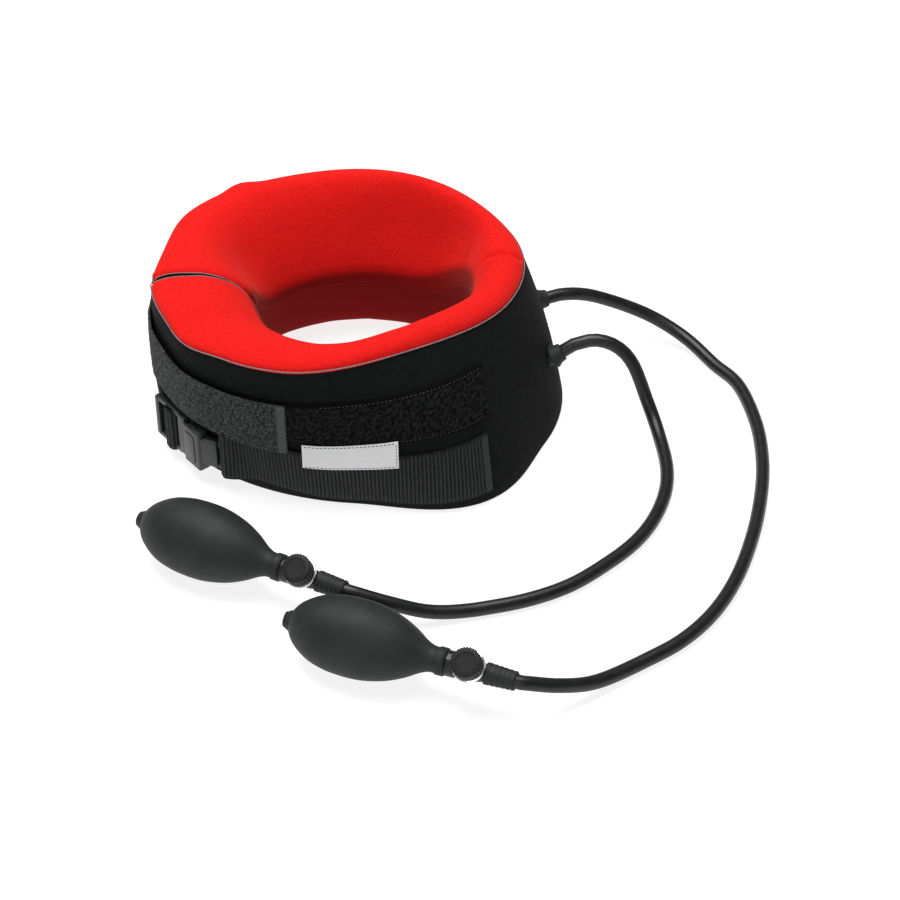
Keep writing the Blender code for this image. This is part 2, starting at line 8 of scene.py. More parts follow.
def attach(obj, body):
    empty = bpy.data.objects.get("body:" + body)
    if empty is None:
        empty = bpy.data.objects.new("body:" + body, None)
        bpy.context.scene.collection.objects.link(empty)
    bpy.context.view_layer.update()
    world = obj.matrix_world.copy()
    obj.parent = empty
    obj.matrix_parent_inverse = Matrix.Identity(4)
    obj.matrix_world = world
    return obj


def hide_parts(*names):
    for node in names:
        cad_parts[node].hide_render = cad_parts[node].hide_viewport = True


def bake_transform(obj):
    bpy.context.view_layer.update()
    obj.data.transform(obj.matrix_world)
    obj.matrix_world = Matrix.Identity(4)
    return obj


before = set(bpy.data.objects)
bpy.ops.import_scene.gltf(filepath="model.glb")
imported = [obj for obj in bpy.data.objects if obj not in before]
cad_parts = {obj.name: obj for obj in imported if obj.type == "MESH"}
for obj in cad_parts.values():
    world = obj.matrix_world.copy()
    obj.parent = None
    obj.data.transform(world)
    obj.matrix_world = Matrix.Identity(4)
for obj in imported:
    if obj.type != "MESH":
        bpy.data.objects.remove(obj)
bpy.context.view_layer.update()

MM = 0.001

# ---- sizes in mm, as in the CAD
COLLAR_CENTRE = Vector((0.6, 94.1, 0.0))
GAP = 0.3
HALF_GAP = 0.5
HEIGHT = 105.0
WALL_BOTTOM = (12.0, 127.0, 109.0, 0.10)
WALL_TOP = (-4.0, 115.0, 104.0, -0.10)
WALL_BULGE = 3.0
FLARE_ANGLE, FLARE_REACH, FLARE_HEIGHT, FLARE_FADE = 66.0, 34.0, 12.0, 1.2
FLARE = {-1: 14.0, 1: 0.0}
# The rim's slight swells and dips: angle, reach, outset and lift, fading out to the floor
RIM_SHAPE = {
    -1: ((147.0, 15.0, 2.5, -1.5), (72.0, 42.0, -5.0, 3.0)),
    1: ((62.0, 48.0, 4.5, 3.5), (163.0, 24.0, -4.5, 0.0), (118.0, 9.0, 2.0, 1.5)),
}
RIM_LIFT_FROM = 80.0                # the lift starts at this height
INNER_Z = (4.0, 72.0)
INNER_BOTTOM = (5.0, 79.0, 73.0, 0.0)
INNER_TOP = (12.0, 68.0, 59.0, 0.0)
FRONT_ANGLE = 24.0                  # the blended chin stretch reaches this far each side

EXIT_ANGLE, EXIT_Z = 16.0, 42.0
EXIT_HEADING = {-1: (30.0, 3.0), 1: (5.0, 10.0)}    # degrees above level, and to the left
PORT_OUTSIDE = 9.0
BUCKLE_MOUTH = Vector((-107.2, -56.0, 23.25))
BUCKLE_ANGLE = math.radians(121.0)

BULB_HEIGHT = 23.0
BULBS = {"right": ((-136.0, -129.5), -35.0), "left": ((-58.0, -228.5), -29.2)}
VALVE_AXIS_AT, VALVE_END = 111.0, 119.0
KNOB_LEAN = math.radians(35.0)

HOSE_RADIUS = 4.25
HOSE_SPACING, HOSE_STEPS = 5.0, 24
STRAIGHT_START, STRAIGHT_END = 8.0, 21.0
HOSE_FLOOR = HOSE_RADIUS + GAP
# Each hose from the shell to its valve, from the collar's centre; it lies on the floor where
# no height is given
HOSE_ROUTES = {
    "right": ((154, -31.5, 53.7), (167, -35.5, 50.4), (177, -41.5, 39.8), (185, -51.5, 18),
              (189, -70, 6.3), (188, -101), (182, -126), (170, -150), (154, -170), (133, -187),
              (109, -202), (82, -211), (52, -215), (25, -217, 8), (1, -215, 16)),
    "left": ((153, 35.5, 42.4), (167.5, 37.5, 37.5), (191.5, 39.5, 25), (210.5, 34, 16.2),
             (227.5, 19.5, 9), (241, -5), (251, -28), (253, -66), (249, -100), (241, -132),
             (227, -170), (208, -208), (187, -237), (163, -258), (135, -273), (108, -287, 8),
             (86, -295, 16)),
}
SIDES = {"right": -1, "left": 1}
HALVES = {"right": "right_half", "left": "left_half"}

# Heights and angles of the sewn pieces, and how far each climbs along its length
STRAP_Z, STRAP_ANGLES, NAPE_LIFT = (42.0, 79.0), (179.0, 113.0), 5.0
PATCH_Z, PATCH_ANGLES, PATCH_RISE = (49.5, 79.0), (128.0, 54.0), 3.0
WEBBING_Z, WEBBING_ANGLES, WEBBING_RISE = (4.5, 40.0), (125.5, 60.5), 4.0
LABEL_Z, LABEL_ANGLES, LABEL_RISE = (31.5, 50.0), (110.0, 84.0), 3.0
NAPE_Z = (8.5, 39.5)


# ---- camera, light and floor
WORLD_LIGHT = 0.22
FLOOR_REACH, FLOOR_GREY, FLOOR_GLOW = 4.0, 0.3, 0.82


def add_camera():
    turn, tilt, distance, focal = math.radians(-8.0), math.radians(39.0), 1.6, 99.2
    right = Vector((math.cos(turn), math.sin(turn), 0.0))
    back = Vector((math.sin(turn) * math.cos(tilt), -math.cos(turn) * math.cos(tilt),
                   math.sin(tilt)))
    up = back.cross(right)
    # The collar's foot lies left of and above the middle of the picture.
    place = COLLAR_CENTRE * MM + back * distance + right * 0.0658 - up * 0.0335
    camera = bpy.data.objects.new("camera", bpy.data.cameras.new("camera"))
    axes = Matrix((right, up, back)).transposed()
    camera.matrix_world = Matrix.Translation(place) @ axes.to_4x4()
    camera.data.lens = focal
    camera.data.sensor_width = 36.0
    bpy.context.scene.collection.objects.link(camera)
    bpy.context.scene.camera = camera


def add_area_light(name, place, target, size, power):
    lamp = bpy.data.objects.new(name, bpy.data.lights.new(name, "AREA"))
    lamp.data.size = size
    lamp.data.energy = power
    lamp.location = place
    lamp.rotation_euler = (Vector(target) - Vector(place)).to_track_quat("-Z", "Y").to_euler()
    bpy.context.scene.collection.objects.link(lamp)


def add_studio():
    scene = bpy.context.scene
    scene.view_settings.view_transform = "Standard"
    world = bpy.data.worlds.new("studio")
    world.use_nodes = True
    background = world.node_tree.nodes["Background"].inputs
    background["Color"].default_value = (1.0, 1.0, 1.0, 1.0)
    background["Strength"].default_value = WORLD_LIGHT
    scene.world = world
    add_area_light("overhead", (-0.15, 0.30, 1.6), (0, 0.05, 0.0), 1.2, 35)
    add_area_light("front", (-0.5, -1.5, 0.9), (0, 0, 0.05), 0.9, 5)

    floor_mesh = bpy.data.meshes.new("floor")
    corners = [(x * FLOOR_REACH, y * FLOOR_REACH, 0)
               for x, y in ((-1, -1), (1, -1), (1, 1), (-1, 1))]
    floor_mesh.from_pydata(corners, [], [(0, 1, 2, 3)])
    floor = bpy.data.objects.new("floor", floor_mesh)
    pale = bpy.data.materials.new("pale_floor")
    pale.use_nodes = True
    shader = pale.node_tree.nodes["Principled BSDF"].inputs
    shader["Base Color"].default_value = (FLOOR_GREY, FLOOR_GREY, FLOOR_GREY, 1.0)
    shader["Roughness"].default_value = 0.9
    shader["Emission Color"].default_value = (1.0, 1.0, 1.0, 1.0)
    shader["Emission Strength"].default_value = FLOOR_GLOW
    floor_mesh.materials.append(pale)
    scene.collection.objects.link(floor)


# ---- materials
FINISHES = {}


class Finish:
    """A material built up from nodes on the object's own coordinates, in metres."""

    def __init__(self, key, name, roughness, metallic=0.0, specular=0.5):
        material = FINISHES[key] = bpy.data.materials.new(name)
        material.use_nodes = True
        self.nodes = material.node_tree.nodes
        self.links = material.node_tree.links
        self.shader = self.nodes["Principled BSDF"]
        self.set("Roughness", roughness)
        self.set("Metallic", metallic)
        self.set("Specular IOR Level", specular)
        self.place = self.nodes.new("ShaderNodeTexCoord").outputs["Object"]
        self.surface = None

    def set(self, socket, value):
        self.shader.inputs[socket].default_value = value
        return self

    def sheen(self, weight, roughness, tint=(1, 1, 1)):
        self.set("Sheen Weight", weight)
        self.set("Sheen Roughness", roughness)
        return self.set("Sheen Tint", (*tint, 1.0))

    def stretched(self, scale):
        mapping = self.nodes.new("ShaderNodeMapping")
        mapping.inputs["Scale"].default_value = scale
        self.links.new(self.place, mapping.inputs["Vector"])
        return mapping.outputs["Vector"]

    def noise(self, size, detail=3.0, stretch=None):
        """Noise with features of about this size in millimetres."""
        node = self.nodes.new("ShaderNodeTexNoise")
        node.inputs["Scale"].default_value = 1.0 / (size * MM)
        node.inputs["Detail"].default_value = detail
        self.links.new(self.stretched(stretch) if stretch else self.place,
                       node.inputs["Vector"])
        return node.outputs["Fac"]

    def cells(self, size):
        """Round cells of about this size in millimetres."""
        node = self.nodes.new("ShaderNodeTexVoronoi")
        node.inputs["Scale"].default_value = 1.0 / (size * MM)
        self.links.new(self.place, node.inputs["Vector"])
        return node.outputs["Distance"]

    def painted_light(self, fine, share=0.6):
        """Painted light stored on the mesh, 0 for painted shade to 1 for lit (the low parts of a
        strap's relief, the hole's wall on the fleece), roughened by a fine factor.
        """
        relief = self.nodes.new("ShaderNodeAttribute")
        relief.attribute_name = "painted_light"
        mix = self.nodes.new("ShaderNodeMix")
        mix.inputs["Factor"].default_value = share
        self.links.new(fine, mix.inputs["A"])
        self.links.new(relief.outputs["Fac"], mix.inputs["B"])
        return mix.outputs["Result"]

    def colours(self, factor, *stops):
        """Colour the surface from a factor through (position, colour) stops."""
        ramp = self.nodes.new("ShaderNodeValToRGB")
        while len(ramp.color_ramp.elements) < len(stops):
            ramp.color_ramp.elements.new(0.5)
        for element, (position, colour) in zip(ramp.color_ramp.elements, stops):
            element.position = position
            element.color = (*colour, 1.0)
        self.links.new(factor, ramp.inputs["Fac"])
        self.links.new(ramp.outputs["Color"], self.shader.inputs["Base Color"])
        return self

    def bump(self, height, depth, strength=1.0):
        """Raise the surface by up to this depth in millimetres."""
        node = self.nodes.new("ShaderNodeBump")
        node.inputs["Strength"].default_value = strength
        node.inputs["Distance"].default_value = depth * MM
        self.links.new(height, node.inputs["Height"])
        if self.surface:
            self.links.new(self.surface, node.inputs["Normal"])
        self.surface = node.outputs["Normal"]
        self.links.new(self.surface, self.shader.inputs["Normal"])
        return self

    def grain(self, size, detail, depth, strength, stretch=None):
        """Raise the surface unevenly, with features of about this size."""
        return self.bump(self.noise(size, detail, stretch), depth, strength)

    def mottled(self, size, detail, low, high, stretch=None):
        """Shade the surface softly between two colours."""
        return self.colours(self.noise(size, detail, stretch), (0.3, low), (0.7, high))

    def rough(self, size, detail, low, high):
        """Let the roughness wander between two values."""
        span = self.nodes.new("ShaderNodeMapRange")
        span.inputs["To Min"].default_value = low
        span.inputs["To Max"].default_value = high
        self.links.new(self.noise(size, detail), span.inputs["Value"])
        self.links.new(span.outputs["Result"], self.shader.inputs["Roughness"])
        return self


def make_finishes():
    fleece = Finish("fleece", "red_fleece", 0.95, specular=0.1)
    fleece.sheen(0.15, 0.5, (1.0, 0.2, 0.15))
    # The dark reds are painted shade on the hole's wall; the fine noise is the fleece's own
    # mottling.
    fleece.colours(fleece.painted_light(fleece.noise(1.6, 5.0), 0.72),
                   (0.08, (0.16, 0.002, 0.002)), (0.28, (0.20, 0.002, 0.002)),
                   (0.78, (0.56, 0.006, 0.005)), (0.94, (0.74, 0.012, 0.010)))
    fleece.grain(9.0, 2.0, 0.5, 0.35)
    fleece.grain(0.9, 4.0, 0.35, 0.6)

    shell = Finish("shell", "black_laminated_foam", 0.9, specular=0.12)
    shell.mottled(3.0, 5.0, (0.0045, 0.0052, 0.0050), (0.0085, 0.0092, 0.0090))
    shell.grain(14.0, 2.0, 0.5, 0.25)
    shell.grain(0.6, 3.0, 0.12, 0.6)

    edge = Finish("edge", "grey_cut_edge", 0.9, specular=0.2)
    edge.mottled(0.8, 3.0, (0.17, 0.10, 0.10), (0.32, 0.22, 0.22))
    edge.grain(0.5, 2.0, 0.15, 0.5)

    hook = Finish("hook", "hook_tape", 0.8, specular=0.25)
    # Partly the tape's own mottling, partly painted shade: darker where its relief lies low.
    hook.colours(hook.painted_light(hook.noise(1.6, 4.0), 0.45), (0.38, (0.006, 0.007, 0.007)),
                 (0.62, (0.078, 0.083, 0.083)))
    hook.bump(hook.cells(1.2), 0.5, 0.7)
    hook.grain(0.8, 3.0, 0.4, 0.6)

    loop = Finish("loop", "loop_pile", 0.95, specular=0.1)
    # Partly the pile's own mottling, partly painted shade: darker where the pile lies low.
    loop.colours(loop.painted_light(loop.noise(2.0, 4.0), 0.5), (0.42, (0.0020, 0.0020, 0.0020)),
                 (0.68, (0.020, 0.021, 0.021)))
    loop.grain(1.8, 4.0, 0.9, 0.8)

    webbing = Finish("webbing", "ribbed_webbing", 0.75, specular=0.22)
    # Partly the webbing's own mottling, partly painted shade: the valleys between the ribs are
    # darker.
    webbing.colours(webbing.painted_light(webbing.noise(1.4, 4.0, (1, 1, 0.25))),
                    (0.22, (0.0025, 0.0028, 0.0028)), (0.72, (0.036, 0.039, 0.038)))
    webbing.grain(0.45, 3.0, 0.15, 0.7, (1, 1, 0.5))

    thread = Finish("thread", "sewing_thread", 0.55, specular=0.4)
    thread.mottled(0.5, 2.0, (0.02, 0.02, 0.02), (0.06, 0.06, 0.06))
    thread.grain(0.3, 2.0, 0.08, 0.5)

    label = Finish("label", "white_woven_label", 0.6, specular=0.3)
    label.mottled(0.7, 3.0, (0.74, 0.74, 0.75), (0.92, 0.92, 0.93), (1, 1, 2.2))
    label.grain(0.35, 2.0, 0.1, 0.6, (1, 1, 2.5))

    plastic = Finish("buckle", "buckle_plastic", 0.38, specular=0.5)
    plastic.mottled(6.0, 3.0, (0.013, 0.014, 0.014), (0.026, 0.028, 0.028))
    plastic.grain(0.5, 2.0, 0.04, 0.5)
    plastic.rough(3.0, 3.0, 0.30, 0.46)

    rubber = Finish("rubber", "bulb_rubber", 0.65, specular=0.28)
    rubber.mottled(12.0, 4.0, (0.012, 0.0132, 0.0132), (0.019, 0.021, 0.021))
    rubber.grain(0.5, 3.0, 0.05, 0.5)
    rubber.rough(5.0, 4.0, 0.52, 0.68)

    hose = Finish("hose", "hose_rubber", 0.4, specular=0.4)
    hose.mottled(5.0, 4.0, (0.004, 0.0043, 0.0043), (0.009, 0.0095, 0.0095))
    hose.grain(2.5, 3.0, 0.08, 0.4)
    hose.rough(4.0, 3.0, 0.28, 0.46)

    knob = Finish("knob", "knob_plastic", 0.55, specular=0.3)
    knob.colours(knob.noise(1.0, 4.0), (0.35, (0.003, 0.003, 0.003)),
                 (0.7, (0.013, 0.013, 0.013)))
    knob.grain(0.5, 3.0, 0.12, 0.7)

    chrome = Finish("chrome", "chrome", 0.14, metallic=1.0)
    chrome.mottled(4.0, 2.0, (0.70, 0.70, 0.70), (0.84, 0.84, 0.85))
    chrome.rough(1.5, 3.0, 0.08, 0.2)

    stem = Finish("stem", "black_nickel", 0.32, metallic=0.6)
    stem.mottled(3.0, 3.0, (0.015, 0.015, 0.016), (0.035, 0.035, 0.036))
    stem.rough(2.0, 3.0, 0.25, 0.45)

    bladder = Finish("bladder", "bladder_rubber", 0.6)
    bladder.mottled(4.0, 3.0, (0.03, 0.03, 0.03), (0.06, 0.06, 0.06))


# ---- mesh helpers
def finished(name, mesh, finish, smooth_angle=None):
    mesh.materials.append(FINISHES[finish])
    mesh.shade_smooth()
    if smooth_angle:
        mesh.set_sharp_from_angle(angle=math.radians(smooth_angle))
    piece = bpy.data.objects.new(name, mesh)
    bpy.context.scene.collection.objects.link(piece)
    return piece


def ring_faces(rows, count, start=0, looped=False):
    """Faces over rows of rings, with a cap at each end unless they come back round."""
    faces = []
    for row in range(rows if looped else rows - 1):
        here, following = start + row * count, start + (row + 1) % rows * count
        for i in range(count):
            j = (i + 1) % count
            faces.append((here + i, here + j, following + j, following + i))
    if not looped:
        faces.append(tuple(range(start, start + count)))
        faces.append(tuple(range(start + (rows - 1) * count, start + rows * count)))
    return faces


def closed_mesh(name, points, faces):
    """A mesh of points in millimetres whose faces all look outwards."""
    mesh = bpy.data.meshes.new(name)
    mesh.from_pydata([tuple(point * MM) for point in points], [], faces)
    bm = bmesh.new()
    bm.from_mesh(mesh)
    bmesh.ops.recalc_face_normals(bm, faces=bm.faces)
    bm.to_mesh(mesh)
    bm.free()
    return mesh


def skinned(name, rings, finish, smooth_angle=None, looped=False):
    """A closed body over rings of points in the part's frame, in millimetres."""
    points = [point for ring in rings for point in ring]
    faces = ring_faces(len(rings), len(rings[0]), looped=looped)
    return finished(name, closed_mesh(name, points, faces), finish, smooth_angle)


def ride_as(piece, body, slot, *nodes):
    if nodes:
        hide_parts(*nodes)
    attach(piece, body)
    return piece


def curve_through(points, steps, closed=False):
    """Points on a Catmull-Rom curve, this many to each stretch."""
    if closed:
        ends = [points[-1]] + list(points) + list(points[:2])
    else:
        ends = [2 * points[0] - points[1]] + list(points) + [2 * points[-1] - points[-2]]
    dense = []
    for a, b, c, d in zip(ends, ends[1:], ends[2:], ends[3:]):
        for i in range(steps):
            s = i / steps
            dense.append(((2 * b) + (c - a) * s + (2 * a - 5 * b + 4 * c - d) * s ** 2
                          + (3 * b - a - 3 * c + d) * s ** 3) / 2)
    if not closed:
        dense.append(points[-1])
    return dense


def length_of(points):
    return sum((q - p).length for p, q in zip(points, points[1:]))


def resampled(points, count):
    """The same line in this many even steps."""
    lengths = [0.0]
    for p, q in zip(points, points[1:]):
        lengths.append(lengths[-1] + (q - p).length)
    line, at = [], 0
    for i in range(count + 1):
        target = lengths[-1] * i / count
        while at < len(lengths) - 2 and lengths[at + 1] < target:
            at += 1
        share = (target - lengths[at]) / (lengths[at + 1] - lengths[at])
        line.append(points[at].lerp(points[at + 1], min(1.0, share)))
    return line


def evenly(points, spacing):
    """The same line with points at about this spacing."""
    return resampled(points, max(2, round(length_of(points) / spacing)))


def smoothly(share):
    """0 below no share, 1 above a full one, and an easy slope between."""
    share = min(1.0, max(0.0, share))
    return share * share * (3.0 - 2.0 * share)


# ---- the collar's own shape
def on_outline(outline, angle, outset=0.0):
    centre, length, width, egg = outline
    across = math.cos(angle)
    return Vector((centre + (length + outset) * across,
                   (width + outset) * math.sin(angle) * (1.0 + egg * across)))


def blend_outline(low, high, share):
    return [a + (b - a) * share for a, b in zip(low, high)]


def window(distance, reach):
    """1 at no distance, falling smoothly to 0 at the reach."""
    away = abs(distance) / reach
    return (1.0 + math.cos(math.pi * away)) / 2.0 if away < 1.0 else 0.0


def flare(side, angle, z):
    fade = 1.0 - max(0.0, z - FLARE_HEIGHT) / (HEIGHT - FLARE_HEIGHT)
    return (FLARE[side] * window(math.degrees(angle) - FLARE_ANGLE, FLARE_REACH)
            * max(0.0, fade) ** FLARE_FADE)


def wall(side, angle, z, outset=0.0):
    share = z / HEIGHT
    swell = WALL_BULGE * math.sin(math.pi * share) + flare(side, angle, z)
    for centre, reach, out, _ in RIM_SHAPE[side]:
        swell += out * window(math.degrees(angle) - centre, reach) * max(0.0, share) ** 2
    return on_outline(blend_outline(WALL_BOTTOM, WALL_TOP, share), angle, outset + swell)


def lifted(side, angle, z):
    """The height of a point once the rim's own rise and fall is added."""
    share = max(0.0, z - RIM_LIFT_FROM) / (HEIGHT - RIM_LIFT_FROM)
    rise = sum(lift * window(math.degrees(angle) - centre, reach)
               for centre, reach, _, lift in RIM_SHAPE[side])
    return z + rise * min(1.0, share)


def upright(side, degrees, z, middle):
    """The angle at height z straight above or below an angle at the middle height."""
    angle = straight = math.radians(degrees)
    x = wall(side, angle, middle).x
    centre, length = blend_outline(WALL_BOTTOM, WALL_TOP, z / HEIGHT)[:2]
    for _ in range(3):
        across = math.cos(straight)
        reach = (wall(side, straight, z).x - centre) / across if abs(across) > 0.05 else length
        straight = math.acos(max(-1.0, min(1.0, (x - centre) / reach)))
    return math.degrees(angle + (straight - angle) * math.sin(angle) ** 2)


def inner(angle, z):
    low, high = INNER_Z
    share = min(1.0, max(0.0, (z - low) / (high - low)))
    return on_outline(blend_outline(INNER_BOTTOM, INNER_TOP, share), angle)


def section_point(side, degrees, z, share, inset):
    """A point between the wall and the neck; the angle runs from chin to nape."""
    angle = math.radians(degrees)
    flat = wall(side, angle, z, -inset).lerp(inner(angle, z), share)
    height = lifted(side, angle, z)
    return COLLAR_CENTRE + Vector((flat.x, side * (flat.y + HALF_GAP / 2), height))


def on_wall(side, degrees, z, outset=0.0):
    return section_point(side, degrees, z, 0.0, -outset)


def steps_between(first, last, spacing):
    count = max(1, round(abs(last - first) / spacing))
    return [first + (last - first) * i / count for i in range(count + 1)]


def from_buckle(x, y):
    return Vector((BUCKLE_MOUTH.x + x * math.cos(BUCKLE_ANGLE) - y * math.sin(BUCKLE_ANGLE),
                   BUCKLE_MOUTH.y + x * math.sin(BUCKLE_ANGLE) + y * math.cos(BUCKLE_ANGLE)))


# ---- hoses
def exit_axis(side):
    flat = wall(side, math.radians(EXIT_ANGLE), EXIT_Z)
    place = Vector((flat.x, side * (flat.y + HALF_GAP / 2), EXIT_Z))
    rise, turn = (math.radians(angle) for angle in EXIT_HEADING[side])
    heading = Vector((math.cos(rise) * math.cos(turn), math.cos(rise) * math.sin(turn),
                      math.sin(rise)))
    return COLLAR_CENTRE + place, heading


def bulb_axis(name):
    (x, y), degrees = BULBS[name]
    turn = math.radians(degrees)
    return (COLLAR_CENTRE + Vector((x, y, BULB_HEIGHT)),
            Vector((math.cos(turn), math.sin(turn), 0.0)))


def hose_route(name):
    place, heading = exit_axis(SIDES[name])
    start = place + heading * (PORT_OUTSIDE + GAP)
    tail, along = bulb_axis(name)
    end = tail + along * (VALVE_END + GAP)
    middle = [COLLAR_CENTRE + Vector((*point, HOSE_FLOOR)[:3]) for point in HOSE_ROUTES[name]]
    knots = [start + heading * STRAIGHT_START] + middle + [end + along * STRAIGHT_END]
    route = evenly(curve_through(knots, HOSE_STEPS), HOSE_SPACING)
    return [start] + [Vector((p.x, p.y, max(p.z, HOSE_FLOOR))) for p in route] + [end]


def tube_rings(route, radius, sides=20):
    """Rings round a route, carried along without twist."""
    rings = []
    across = (route[1] - route[0]).cross(Vector((0, 0, 1))).normalized()
    for i, point in enumerate(route):
        along = (route[min(i + 1, len(route) - 1)] - route[max(i - 1, 0)]).normalized()
        across = (across - along * across.dot(along)).normalized()
        other = along.cross(across)
        size = radius(i) if callable(radius) else radius
        rings.append([point + (across * math.cos(a) + other * math.sin(a)) * size
                      for a in (2 * math.pi * k / sides for k in range(sides))])
    return rings


def make_hose(name):
    route = hose_route(name)
    hose = skinned(f"{name}_hose", tube_rings(route, HOSE_RADIUS), "hose", 60)
    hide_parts(f"hose_{name}")
    if name == "left":
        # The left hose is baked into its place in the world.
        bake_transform(hose)
    else:
        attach(hose, "right_half")
    place, heading = exit_axis(SIDES[name])
    make_sleeve(name)
    make_grommet(name)


def turned_rings(place, along, profile, sides=40, ripple=None):
    """Rings round an axis from (height, radius) pairs; ripple changes a radius by angle."""
    across = along.orthogonal().normalized()
    other = along.cross(across)
    rings = []
    for height, radius in profile:
        ring = []
        for k in range(sides):
            angle = 2 * math.pi * k / sides
            size = radius + (ripple(height, angle) if ripple else 0.0)
            ring.append(place + along * height
                        + (across * math.cos(angle) + other * math.sin(angle)) * size)
        rings.append(ring)
    return rings


def turned_tube(name, place, along, outer, bore, finish, sides=40):
    """A turned tube: the outer profile, then back through its bore."""
    rings = turned_rings(place, along, outer, sides)
    rings += turned_rings(place, along, [(outer[-1][0], bore), (outer[0][0], bore)], sides)
    return skinned(name, rings, finish, 40, looped=True)


def make_sleeve(name):
    """The ribbed rubber sleeve that clamps the hose on the valve."""
    tail, along = bulb_axis(name)
    place = tail + along * (VALVE_END + GAP)
    profile = [(0.0, 6.0), (0.4, 6.4)]
    for rib in range(5):
        at, size, groove = 1.4 + rib * 3.0, 6.4 - rib * 0.16, 0.3
        profile += [(at, size), (at + 1.3, size), (at + 1.8, size - groove),
                    (at + 2.5, size - groove)]
    profile += [(16.8, 5.7), (17.6, 5.5), (18.0, 5.1)]
    sleeve = turned_tube(f"{name}_hose_sleeve", place, along, profile, 4.6, "rubber")
    return ride_as(sleeve, "right_half", "rubber", f"hose_sleeve_{name}")


def make_grommet(name):
    """The moulded rubber spout in the wall that the hose comes out of."""
    place, heading = exit_axis(SIDES[name])
    profile = [(1.2, 7.2), (2.4, 7.6), (3.4, 7.4), (4.4, 6.7), (5.6, 6.1), (7.6, 5.8),
               (8.9, 5.5)]
    grommet = turned_tube(f"{name}_hose_grommet", place, heading, profile, 5.0, "rubber")
    return ride_as(grommet, HALVES[name], "rubber", f"hose_grommet_{name}")


# ---- bulbs and valves
BULB_OUTER = (
    (0.0, 5.4), (1.0, 5.9), (2.4, 6.2), (4.0, 9.0), (6.6, 12.1), (10.0, 14.8), (14.5, 17.6),
    (20.0, 20.0), (26.0, 21.5), (32.0, 22.4), (42.0, 22.8), (52.0, 22.0), (64.0, 19.0),
    (74.0, 14.6), (82.0, 9.8), (86.5, 7.8), (90.0, 7.4), (91.4, 8.2), (95.6, 8.2), (96.5, 7.2),
)


KNOB_PROFILE = (
    (9.9, 7.8), (10.2, 8.4), (10.7, 8.6), (12.0, 8.6), (14.0, 8.6), (16.0, 8.6), (17.2, 8.6),
    (17.7, 8.3), (18.0, 7.7), (18.0, 6.0), (17.6, 5.6), (17.5, 3.0),
)
KNOB_FLUTES, FLUTE_DEPTH, FLUTE_HEIGHTS = 30, 0.28, (10.6, 17.3)
RING_PROFILE = ((7.2, 8.6), (7.5, 9.3), (8.0, 9.6), (9.0, 9.6), (9.5, 9.3), (9.7, 8.6))
RING_BORE = 5.6


def knurl(height, angle):
    low, high = FLUTE_HEIGHTS
    return FLUTE_DEPTH * math.cos(KNOB_FLUTES * angle) if low < height < high else 0.0


def make_bulb(name):
    """A bulb, the knob of its release valve and the bright ring under the knob."""
    tail, along = bulb_axis(name)
    # Only the skin between the rim of the inlet and the neck is a smooth curve.
    knots = [Vector((height, radius, 0.0)) for height, radius in BULB_OUTER[2:16]]
    smooth = [(p.x, p.y) for p in curve_through(knots, 4)]
    profile = list(BULB_OUTER[:2]) + smooth + list(BULB_OUTER[16:])
    bulb = skinned(f"{name}_bulb_skin", turned_rings(tail, along, profile, 72), "rubber", 50)
    ride_as(bulb, "right_half", "rubber", f"bulb_{name}")

    up = Vector((0.0, 0.0, 1.0))
    across = along.cross(up) * math.sin(KNOB_LEAN) + up * math.cos(KNOB_LEAN)
    across.normalize()
    centre = tail + along * VALVE_AXIS_AT
    knob = skinned(f"{name}_knurled_knob",
                   turned_rings(centre, across, KNOB_PROFILE, 8 * KNOB_FLUTES, knurl),
                   "knob", 40)
    ride_as(knob, f"{name}_release", "knob", f"release_knob_{name}")
    ring = turned_tube(f"{name}_bright_ring", centre, across, RING_PROFILE, RING_BORE,
                       "chrome", 64)
    ride_as(ring, "right_half", "chrome")


# What covers the CAD nodes, by the first words of their names; the rest are webbing
CAD_FINISHES = {
    "valve_body": "stem", "valve_collar": "chrome", "release_needle": "chrome",
    "inlet_valve": "knob", "inlet_flap": "rubber", "bladder": "bladder",
    "bladder_port": "rubber", "buckle": "buckle", "plug_arm": "buckle", "bulb": "rubber",
    "cushion": "fleece", "shell": "shell", "hose": "hose", "hose_grommet": "rubber",
    "hose_sleeve": "rubber", "release_knob": "knob",
}


def make_cad_finishes():
    for name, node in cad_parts.items():
        finish = CAD_FINISHES.get(name.rsplit("_", 1)[0], "webbing")
        node.data.materials.clear()
        node.data.materials.append(FINISHES[finish])


# ---- cushions
# Height, share of the way from wall to neck, and inset from the wall
CUSHION_SECTION = (
    (101.6, 0.00, 0.6), (103.6, 0.00, 0.3), (106.0, 0.03, 0.3), (108.0, 0.14, 0.0),
    (108.5, 0.30, 0.0), (107.2, 0.50, 0.0), (103.0, 0.70, 0.0), (95.5, 0.87, 0.0),
    (85.5, 0.98, 0.0), (76.0, 1.01, 0.0), (66.0, 0.98, 0.0), (45.0, 0.97, 0.0),
    (25.0, 0.96, 0.0), (10.0, 0.92, 0.0), (3.5, 0.80, 0.0), (2.0, 0.62, 0.0), (2.0, 0.30, 0.0),
    (3.0, 0.10, 5.0), (8.0, 0.00, 5.6), (50.0, 0.00, 5.4), (95.0, 0.00, 5.4),
    (100.6, 0.00, 5.0), (101.4, 0.00, 2.4),
)
NAPE_ROUNDING = {-1: 4.5, 1: 5.5}
NAPE_GAP = 1.6
BINDING_OVER = 0.35                 # how far the nape binding stands over the fleece
FUNNEL_DROP = 34.0                  # how far the far roll slopes down towards the hole
FUNNEL_REACH = 50.0                 # over this many degrees from the chin or the nape
CREASE_DEPTH, CREASE_WIDTH = 3.0, 1.5      # the fold in the chin stretch, mm and degrees
